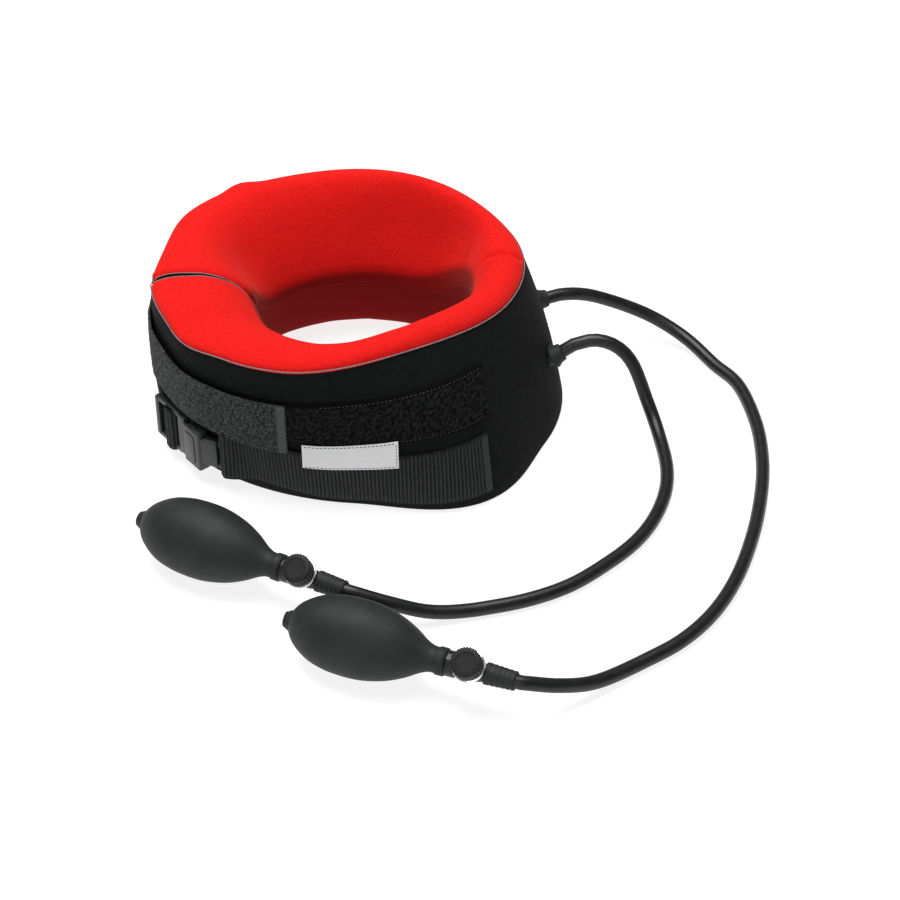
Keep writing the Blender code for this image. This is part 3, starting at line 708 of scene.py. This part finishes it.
# The near roll's slimmer stretch: angle, reach, share of its thickness, and drop
LIP_ANGLE, LIP_REACH, LIP_SHARE, LIP_DROP = 112.0, 62.0, 0.16, 2.0
# The painted shade on the hole's wall: its top edge, how deep it goes, and how softly both fade
HOLE_SHADE_TOP, HOLE_SHADE_DEPTH, HOLE_SHADE_FADE = 92.0, 8.0, (9.0, 8.0)
# The flat air chambers: angles, then middle and reach in height and in share of the roll
BLADDER_ANGLES, BLADDER_Z, BLADDER_SHARE = (22.0, 150.0), (45.0, 27.0), (0.42, 0.15)
BLADDER_ENDS = 0.35


def crease(side, degrees, z, share):
    """How deep the fold over the chin is here: it curves from the rim into the hole."""
    if z < 90.0 or share < 0.02:
        return 0.0
    away = side * degrees + 6.5 - 6.0 * share
    puff = math.exp(-((away + 4.5) / 3.0) ** 2)
    fade = smoothly((z - 90.0) / 10.0) * (1.0 - smoothly((share - 0.6) / 0.3))
    return (CREASE_DEPTH * math.exp(-(away / CREASE_WIDTH) ** 2) - 1.2 * puff) * fade


def sideways(degrees):
    """0 at the chin and the nape, 1 along the collar's side."""
    return smoothly(min(degrees, 180.0 - degrees) / FUNNEL_REACH)


def slimmed(side, degrees, z, share):
    """The near roll is slimmer towards the hole; the far one slopes down into it."""
    if side < 0:
        here = window(degrees - LIP_ANGLE, LIP_REACH)
        return z - LIP_DROP * here * smoothly((z - 70.0) / 30.0), share * (1.0 - LIP_SHARE * here)
    drop = FUNNEL_DROP * sideways(degrees) * smoothly((share - 0.25) / 0.75)
    return z - drop * smoothly((z - 40.0) / 45.0), share


def softened(point, share):
    """Move a point of the fleece by the slight unevenness of stuffed cloth."""
    broad = noise.noise_vector(point / 30.0) * 0.9
    fine = noise.noise_vector(point / 9.0) * 0.25
    return point + (broad + fine) * smoothly((share - 0.03) / 0.2)


def cushion_ring(side, degrees):
    points = []
    for z, share, inset in CUSHION_SECTION:
        z, share = slimmed(side, degrees, z, share)
        point = section_point(side, degrees, z, share, inset)
        depth = crease(side, degrees, z, share)
        if depth:
            core = section_point(side, degrees, 80.0, 0.45, 0.0)
            point = point + (core - point).normalized() * depth
        points.append(Vector((*point, share)))
    return [softened(point.xyz, point.w) for point in curve_through(points, 3, closed=True)]


def pulled_in(ring, distance):
    """A ring drawn in towards its middle by a distance, for a rounded end."""
    middle = sum(ring, Vector()) / len(ring)
    return [point + (middle - point).normalized() * min(distance, (middle - point).length * 0.9)
            for point in ring]


def drawn_back(ring, side, back):
    """Move a ring off the middle plane; the gap narrows from the wall to the hole."""
    moved = []
    for point in ring:
        share = smoothly((point.x - COLLAR_CENTRE.x + 118.0) / 58.0)
        moved.append(point + Vector((0.0, side * (back + NAPE_GAP * (1.0 - 0.8 * share)), 0.0)))
    return moved


def paint_hole_shade(piece):
    """Store 1 on the roll and 0 on the hole's wall, where the fleece gets painted shade."""
    stored = piece.data.attributes.new("painted_light", "FLOAT", "POINT")
    for vert, value in zip(piece.data.vertices, stored.data):
        x, y, height = Vector(vert.co) / MM - COLLAR_CENTRE
        angle = math.atan2(abs(y), x)
        depth, top = math.hypot(x, y) - inner(angle, height).length, HOLE_SHADE_TOP
        if y > 0:
            top -= FUNNEL_DROP * sideways(math.degrees(angle))
        else:
            depth -= HOLE_SHADE_DEPTH * window(math.degrees(angle) - LIP_ANGLE, LIP_REACH)
        inside = 1.0 - smoothly((depth - HOLE_SHADE_DEPTH) / HOLE_SHADE_FADE[1])
        value.value = 1.0 - inside * smoothly((top - height) / HOLE_SHADE_FADE[0])


def nape_rings(side, steps, over=0.0):
    """Rings that round a cushion off at the nape, this far over its fleece."""
    radius = NAPE_ROUNDING[side]
    end = cushion_ring(side, 180.0)
    rings = []
    for step in steps:
        turn = math.pi / 2 * step / 8
        ring = pulled_in(end, radius * (1.0 - math.cos(turn)) - over)
        rings.append(drawn_back(ring, side, radius * (1.0 - math.sin(turn)) - over))
    return rings


def cushion_rings(side):
    """Rings from the chin stretch to the nape, rounded off where the two halves meet."""
    clear = NAPE_ROUNDING[side] + NAPE_GAP
    rings = [cushion_ring(side, degrees) for degrees in steps_between(FRONT_ANGLE, 180.0, 2.5)]
    return [ring for ring in rings
            if abs(sum(ring, Vector()).y / len(ring) - COLLAR_CENTRE.y) > clear] + nape_rings(
                side, range(1, 9))


def make_nape_binding(name, side):
    """Black cloth over the end of a cushion, with a pale edge where it meets the fleece."""
    rings = nape_rings(side, range(5, 9), BINDING_OVER)
    binding = skinned(f"{name}_nape_binding", rings, "shell", 60)
    ride_as(binding, HALVES[name], "shell")
    # Only the upper part of the first ring is out in the open.
    border = [point for point in [rings[0][-1], *rings[0][:40]] if point.z > 70.0]
    edge = skinned(f"{name}_nape_edge", tube_rings(evenly(border, 1.5), 0.4, 8), "edge")
    ride_as(edge, HALVES[name], "fleece")


def make_cushions():
    for name, side in SIDES.items():
        cushion = skinned(f"{name}_fleece_cushion", cushion_rings(side), "fleece", 60)
        paint_hole_shade(cushion)
        ride_as(cushion, HALVES[name], "fleece", f"cushion_{name}")
        make_nape_binding(name, side)
        make_bladder(name, side)
    # The stations close up towards the fold over the chin.
    stations = [FRONT_ANGLE, 21.5, 19.0] + steps_between(17.0, 0.0, 0.8)
    rings = [cushion_ring(-1, degrees) for degrees in stations]
    rings += [cushion_ring(1, degrees) for degrees in stations[::-1]]
    front = skinned("chin_fleece_cushion", rings, "fleece", 60)
    paint_hole_shade(front)
    across_chin(front)


def make_bladder(name, side):
    """The flat air chamber inside a cushion."""
    rings = []
    middle = sum(BLADDER_ANGLES) / 2
    for degrees in steps_between(*BLADDER_ANGLES, 4.0):
        across = abs(degrees - middle) / (BLADDER_ANGLES[1] - middle)
        full = BLADDER_ENDS + (1.0 - BLADDER_ENDS) * math.sqrt(max(0.0, 1.0 - across ** 4))
        rings.append([section_point(side, degrees,
                                    BLADDER_Z[0] + BLADDER_Z[1] * full * math.sin(turn),
                                    BLADDER_SHARE[0] + BLADDER_SHARE[1] * full * math.cos(turn),
                                    0.0)
                      for turn in (2 * math.pi * k / 24 for k in range(24))])
    bladder = skinned(f"{name}_air_bladder", rings, "bladder", 60)
    ride_as(bladder, HALVES[name], "bladder", f"bladder_{name}")


def across_chin(piece):
    """Bake a piece over the chin into its place in the world."""
    edge = on_wall(1, FRONT_ANGLE, 0.0).y - COLLAR_CENTRE.y
    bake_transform(piece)


# ---- shell
RIM_Z, RIM_OUTSET, RIM_EDGE = 101.5, 0.1, 0.42
# Height and inset, up the outside and down the inside
SHELL_SECTION = (
    (2.2, 0.0), (12.0, 0.0), (25.0, 0.0), (40.0, 0.0), (55.0, 0.0), (70.0, 0.0), (85.0, 0.0),
    (95.0, 0.0), (99.6, 0.1), (100.8, 0.8), (101.2, 2.0), (101.0, 3.4), (100.0, 4.6),
    (95.0, 5.0), (50.0, 5.0), (8.0, 5.0), (1.4, 4.6), (0.2, 3.2), (0.0, 2.0), (0.5, 0.7),
)


def shell_rings(side, angles):
    return [[section_point(side, degrees, z, 0.0, inset) for z, inset in SHELL_SECTION]
            for degrees in angles]


def rim_line(side, angles):
    return [on_wall(side, degrees, RIM_Z, RIM_OUTSET) for degrees in angles]


def make_shell():
    for name, side in SIDES.items():
        angles = steps_between(FRONT_ANGLE, 180.0, 2.0)
        shell = skinned(f"{name}_foam_shell", shell_rings(side, angles), "shell", 60)
        ride_as(shell, HALVES[name], "shell", f"shell_{name}")
        edge = skinned(f"{name}_rim_edge", tube_rings(rim_line(side, angles), RIM_EDGE, 8), "edge")
        ride_as(edge, HALVES[name], "fleece")
    angles = steps_between(FRONT_ANGLE, 0.0, 2.0)
    rings = shell_rings(-1, angles) + shell_rings(1, angles[::-1])
    front = skinned("chin_foam_shell", rings, "shell", 60)
    across_chin(front)
    line = rim_line(-1, angles) + rim_line(1, angles[::-1])
    edge = skinned("chin_rim_edge", tube_rings(line, RIM_EDGE, 8), "edge")
    across_chin(edge)


# ---- straps
STRAP_PARTS = 4                     # steps of the smooth line between two of its knots
RIB_PITCH, RIB_COLUMNS = 2.4, 6
THREAD_RADIUS, STITCH_SHARE = 0.26, 0.62   # a stitch covers this share of its pitch


class Line:
    """A strap's middle surface: knots along it, each a point for every height.

    A knot is (side, degrees, outset, lift) on the wall, or (x, y) or (x, y, lift) in the
    buckle's frame.
    """

    def __init__(self, knots, heights, spacing):
        self.knots, self.heights = knots, heights
        self.middle = sum(heights) / 2
        self.cache = {}
        self.length = length_of(self.knot_line(self.middle))
        self.count = max(2, round(self.length / spacing))

    def knot_line(self, z):
        points = []
        for knot in self.knots:
            if len(knot) < 4:
                flat = from_buckle(*knot[:2])
                points.append(COLLAR_CENTRE + Vector((flat.x, flat.y, z + sum(knot[2:]))))
            else:
                side, degrees, outset, lift = knot
                degrees = upright(side, degrees, z + lift, self.middle + lift)
                points.append(on_wall(side, degrees, z + lift, outset))
        return curve_through(points, STRAP_PARTS)

    def at(self, i, z):
        if z not in self.cache:
            self.cache[z] = resampled(self.knot_line(z), self.count)
        return self.cache[z][max(0, min(i, self.count))]

    def outwards(self, i, z):
        """The level direction away from the wall."""
        along = self.at(i - 1, z) - self.at(i + 1, z)
        return Vector((-along.y, along.x, 0.0)).normalized()


def strap(name, finish, line, thickness, rows, relief=None):
    """A closed strap over a line; relief(i, v) is how far its outer face stands up."""
    low, high = line.heights
    rings, painted_light = [], []
    for i in range(line.count + 1):
        outer, under = [], []
        for row in range(rows + 1):
            v = row / rows
            z = low + (high - low) * v
            here, out = line.at(i, z), line.outwards(i, z)
            edge = row in (0, rows) or i in (0, line.count)
            half = thickness / 2 * (0.5 if edge else 1.0)
            rise = relief(i, v) if relief and not edge else 0.0
            outer.append(here + out * (half + rise))
            under.append(here - out * half)
            painted_light.append(rise)
        rings.append(outer + under[::-1])
        painted_light += [0.0] * (rows + 1)
    piece = skinned(name, rings, finish, 60)
    # The relief is also kept on the mesh as painted light for the finishes that read it: painted
    # shade in its lowest parts, brightest on its highest.
    most, least = max(painted_light), min(painted_light)
    stored = piece.data.attributes.new("painted_light", "FLOAT", "POINT")
    for point, rise in zip(stored.data, painted_light):
        point.value = (rise - least) / (most - least)
    return piece


def wall_knots(side, first, last, outset, rise, count):
    return [(side, first + (last - first) * i / count, outset, rise * (i / count) ** 2)
            for i in range(count + 1)]


def ribbed(height, hem_from, last):
    """Rounded ribs with plain selvedges; past hem_from the end is folded over flat."""
    def relief(i, v):
        selvedge = smoothly(min(v, 1.0 - v) / 0.05)
        if i >= hem_from:
            return height * selvedge if i < last - 1 else 0.0
        wander = 1.0 + 0.35 * noise.noise(Vector((i * 0.35, v * 5.0, 2.0)))
        return height * wander * selvedge * math.sin(math.pi * i / RIB_COLUMNS) ** 2
    return relief


def sew(name, line, places, standing, body, slot):
    """Lay short rounded threads on a strap, each (i, v, i, v) from end to end."""
    low, high = line.heights
    points, faces = [], []
    for i0, v0, i1, v1 in places:
        ends = []
        for i, v in ((i0, v0), (i1, v1)):
            z = low + (high - low) * v
            column = int(i)
            here = line.at(column, z).lerp(line.at(column + 1, z), i - column)
            ends.append((here, line.outwards(column, z)))
        (a, out_a), (b, out_b) = ends
        route = [a + out_a * (standing - 0.5), a.lerp(b, 0.2) + out_a * standing,
                 a.lerp(b, 0.8) + out_b * standing, b + out_b * (standing - 0.5)]
        rings = tube_rings(route, THREAD_RADIUS, 6)
        faces += ring_faces(len(rings), 6, start=len(points))
        points += [point for ring in rings for point in ring]
    ride_as(finished(name, closed_mesh(name, points, faces), "thread"), body, slot)


def down_the_end(line, inset, count, margin=0.07):
    """Stitch places in a row across a strap, this far in from its last end."""
    at = line.count - inset / (line.length / line.count)
    step = (1.0 - 2 * margin) / count
    return [(at, margin + step * k, at, margin + step * (k + STITCH_SHARE))
            for k in range(count)]


def along_edges(line, first, last, spacing, v):
    """Stitch places along a strap near both of its long edges."""
    per = line.length / line.count
    places, at = [], first
    while at + spacing < last:
        for edge in (v, 1.0 - v):
            places.append((at / per, edge, (at + STITCH_SHARE * spacing) / per, edge))
        at += spacing
    return places


def make_loop_patch():
    line = Line(wall_knots(-1, *PATCH_ANGLES, 1.2, PATCH_RISE, 12), PATCH_Z, 1.1)

    def pile(i, v):
        edge = smoothly(min(v, 1.0 - v) / 0.10)
        grain = noise.noise(Vector((i * 0.62, v * 17.0, 7.0)))
        fine = noise.noise(Vector((i * 1.4, v * 38.0, 1.0)))
        return edge * (0.45 + 0.55 * grain + 0.25 * fine)

    patch = strap("loop_pile_patch", "loop", line, 1.6, 28, pile)
    ride_as(patch, "right_half", "loop", "loop_patch")
    places = along_edges(line, 52.0, line.length - 1.0, 2.6, 0.045)
    sew("loop_patch_stitching", line, places + down_the_end(line, 1.6, 11), 0.95,
        "right_half", "loop")


def make_label():
    line = Line(wall_knots(-1, *LABEL_ANGLES, 3.1, LABEL_RISE, 6), LABEL_Z, 1.0)

    def weave(i, v):
        folded = smoothly((line.count - i) / 2.5) * smoothly(i / 2.5)
        return 0.12 * (1.0 - folded) + 0.05 * (i % 2)

    label = strap("plain_woven_label", "label", line, 0.7, 18, weave)
    ride_as(label, "right_half", "label", "blank_label")
    places = along_edges(line, 1.5, line.length - 1.0, 2.4, 0.06)
    sew("label_stitching", line, places + down_the_end(line, 1.2, 7), 0.45, "right_half", "label")


# The webbing's loop round the socket's bar, in the buckle's frame
LOOP_KNOTS = ((-35.8, -10.9), (-33.2, -10.6), (-31.0, -9.4), (-31.0, -7.2), (-33.3, -6.4),
              (-36.4, -8.7), (-39.8, -12.4))
LOOP_LIFT = 5.0


def make_buckle_webbing():
    spacing = RIB_PITCH / RIB_COLUMNS
    knots = [(x, y, LOOP_LIFT) for x, y in LOOP_KNOTS]
    for i, (side, degrees, outset, lift) in enumerate(
            wall_knots(-1, *WEBBING_ANGLES, 1.1, WEBBING_RISE, 13)):
        knots.append((side, degrees, outset, lift + LOOP_LIFT * (1.0 - smoothly(i / 5.0))))
    line = Line(knots, WEBBING_Z, spacing)
    hem_from = line.count - round(4.2 / spacing)
    webbing = strap("ribbed_buckle_webbing", "webbing", line, 1.3, 14,
                    ribbed(0.7, hem_from, line.count))
    ride_as(webbing, "right_half", "webbing", "buckle_webbing")
    sew("webbing_stitching", line, down_the_end(line, 4.6, 12), 0.9, "right_half", "webbing")


# The webbing's way through the plug's ladder, in the buckle's frame
LADDER_KNOTS = ((9.0, -4.6), (9.2, -1.0), (10.6, 1.6), (13.8, 2.3), (16.6, 1.4), (18.4, -1.6),
                (20.6, -4.6), (25.0, -5.4), (30.0, -5.4))


def make_nape_webbing():
    """From its sewn end on the left half, round the nape and through the plug's ladder."""
    spacing = RIB_PITCH / RIB_COLUMNS
    knots = [(1, 164.0, 1.1, 0.0), (1, 172.0, 1.1, 0.0), (1, 178.2, 1.1, 0.0),
             (-1, 179.2, 1.1, 0.0), (-1, 175.0, 1.4, 0.0), (-1, 171.0, 2.2, 0.0)]
    line = Line(knots + list(LADDER_KNOTS[::-1]), NAPE_Z, spacing)
    webbing = strap("ribbed_nape_webbing", "webbing", line, 1.3, 14,
                    ribbed(0.5, line.count + 1, line.count))
    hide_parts("nape_webbing", "nape_webbing_base")
    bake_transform(webbing)


def make_hook_strap():
    """From its sewn end on the left half, round the nape to its free end."""
    first, last = STRAP_ANGLES
    knots = [(1, d, 1.3, NAPE_LIFT) for d in (162.0, 167.0, 172.0, 178.2)]
    for d in steps_between(first, last, 4.0):
        lift = NAPE_LIFT * smoothly((d - 128.0) / 50.0)
        knots.append((-1, d, 1.5 + 2.0 * smoothly((first - d) / 10.0), lift))
    line = Line(knots, STRAP_Z, 0.8)

    def relief(i, v):
        grain = noise.noise(Vector((i * 0.55, v * 30.0, 3.0)))
        comb = noise.noise(Vector((i * 0.9, v * 11.0, 9.0)))
        hem = smoothly((i - (line.count - 8)) / 2.0)
        selvedge = smoothly(min(v, 1.0 - v) / 0.05)
        return selvedge * (0.42 * grain + 0.3 * comb) * (1.0 - 0.5 * hem) + 0.4 * hem

    tape = strap("hook_tape_strap", "hook", line, 1.9, 40, relief)
    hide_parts("hook_strap", "hook_strap_base")
    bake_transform(tape)
    sew("hook_tape_stitching", line, down_the_end(line, 6.2, 13), 1.35, "hook_flap", "hook")


# ---- buckle
BUCKLE_MIDDLE = -1.6                # its middle plane lies this far in from the CAD's
TAIL_PIVOT, TAIL_TURN = Vector((-17.0, 1.1, 0.0)), math.radians(28.0)


def rounded_box(bm, low, high, rounding, on_tail=False):
    """Add a box with rounded edges, given in the buckle's own frame."""
    low, high = Vector(low), Vector(high)
    made = bmesh.ops.create_cube(bm, size=1.0)["verts"]
    bmesh.ops.scale(bm, vec=high - low, verts=made)
    bmesh.ops.translate(bm, vec=(low + high) / 2, verts=made)
    edges = list({edge for vert in made for edge in vert.link_edges})
    bmesh.ops.bevel(bm, geom=edges, offset=rounding, segments=3, profile=0.5, affect="EDGES")
    if on_tail:                         # the tail leans in towards the wall
        bmesh.ops.rotate(bm, cent=TAIL_PIVOT, matrix=Matrix.Rotation(TAIL_TURN, 3, "Z"),
                         verts=bm.verts)


def buckle_piece(name, boxes, cuts=()):
    """A moulded piece: rounded boxes joined into one body, less the cut boxes."""
    solids = []
    for index, box in enumerate(list(boxes) + list(cuts)):
        bm = bmesh.new()
        rounded_box(bm, *box)
        mesh = bpy.data.meshes.new(f"{name}_{index}")
        bm.to_mesh(mesh)
        bm.free()
        solid = bpy.data.objects.new(f"{name}_{index}", mesh)
        bpy.context.scene.collection.objects.link(solid)
        solids.append(solid)
    body = solids[0]
    for index, other in enumerate(solids[1:], 1):
        join = body.modifiers.new(f"join_{index}", "BOOLEAN")
        join.operation = "UNION" if index < len(boxes) else "DIFFERENCE"
        join.solver = "EXACT"
        join.object = other
    bpy.context.view_layer.update()
    done = bpy.data.meshes.new_from_object(
        body.evaluated_get(bpy.context.evaluated_depsgraph_get()))
    for solid in solids:
        bpy.data.objects.remove(solid)
    done.transform(Matrix.Translation(Vector((0.0, BUCKLE_MIDDLE, 0.0))))
    done.transform(Matrix.Scale(MM, 4) @ Matrix.Translation(COLLAR_CENTRE + BUCKLE_MOUTH)
                   @ Matrix.Rotation(BUCKLE_ANGLE, 4, "Z"))
    done.name = name
    done.materials.clear()
    return finished(name, done, "buckle", 35)


def make_buckle():
    """Side-release buckle: a ladder plug on the nape webbing and its socket."""
    ladder = buckle_piece("buckle_ladder_plug", [
        ((-2.2, -2.4, -12.5), (5.2, 2.4, 16.5), 0.9),
        ((3.0, -2.0, 14.0), (28.8, 2.2, 17.4), 0.8),
        ((3.0, -2.0, -13.4), (28.8, 2.2, -10.0), 0.8),
        ((11.6, -1.6, -12.0), (14.6, 1.0, 16.0), 0.7),
        ((25.6, -2.0, -12.6), (29.4, 2.6, 16.6), 0.9),
        ((-12.0, -1.5, -3.2), (2.0, 1.5, 3.2), 0.5),
    ])
    ride_as(ladder, "plug_webbing", "buckle", "buckle_plug")
    socket = buckle_piece("buckle_socket", [
        ((-19.6, -3.9, -13.5), (-2.8, 3.9, 15.5), 1.3),
        ((-29.6, -2.4, -8.0), (-15.0, 3.4, 11.8), 1.1, True),
        ((-35.4, -1.0, -11.0), (-33.2, 1.4, 17.0), 0.6, True),
        ((-34.0, -0.8, -9.0), (-28.0, 1.4, -5.0), 0.5, True),
        ((-34.0, -0.8, 7.0), (-28.0, 1.4, 11.0), 0.5, True),
        ((-15.0, 3.2, -9.5), (-6.0, 4.5, 11.0), 0.5),
    ], [
        ((-16.5, -2.4, -11.9), (0.0, 2.4, 13.9), 0.3),
        ((-13.0, -2.2, -16.0), (-4.0, 2.2, 18.0), 0.4),
    ])
    ride_as(socket, "right_half", "buckle", "buckle_housing")
    for name, up in (("upper", 1), ("lower", -1)):
        middle = 1.0
        reach = sorted(up * away + middle for away in (6.6, 10.2))
        pad = sorted(up * away + middle for away in (8.4, 14.0))
        arm = buckle_piece(f"buckle_{name}_arm", [
            ((-14.0, -1.5, reach[0]), (0.4, 1.5, reach[1]), 0.6),
            ((-12.2, -1.6, pad[0]), (-5.0, 1.6, pad[1]), 0.7),
        ])
        ride_as(arm, f"{name}_arm", "buckle", f"plug_arm_{name}")


# ---- assembly
noise.seed_set(7)                   # noise_vector differs from run to run without it
make_finishes()
add_camera()
add_studio()
make_cad_finishes()
for bulb_name in BULBS:
    make_hose(bulb_name)
    make_bulb(bulb_name)
make_cushions()
make_shell()
make_loop_patch()
make_label()
make_buckle_webbing()
make_nape_webbing()
make_hook_strap()
make_buckle()
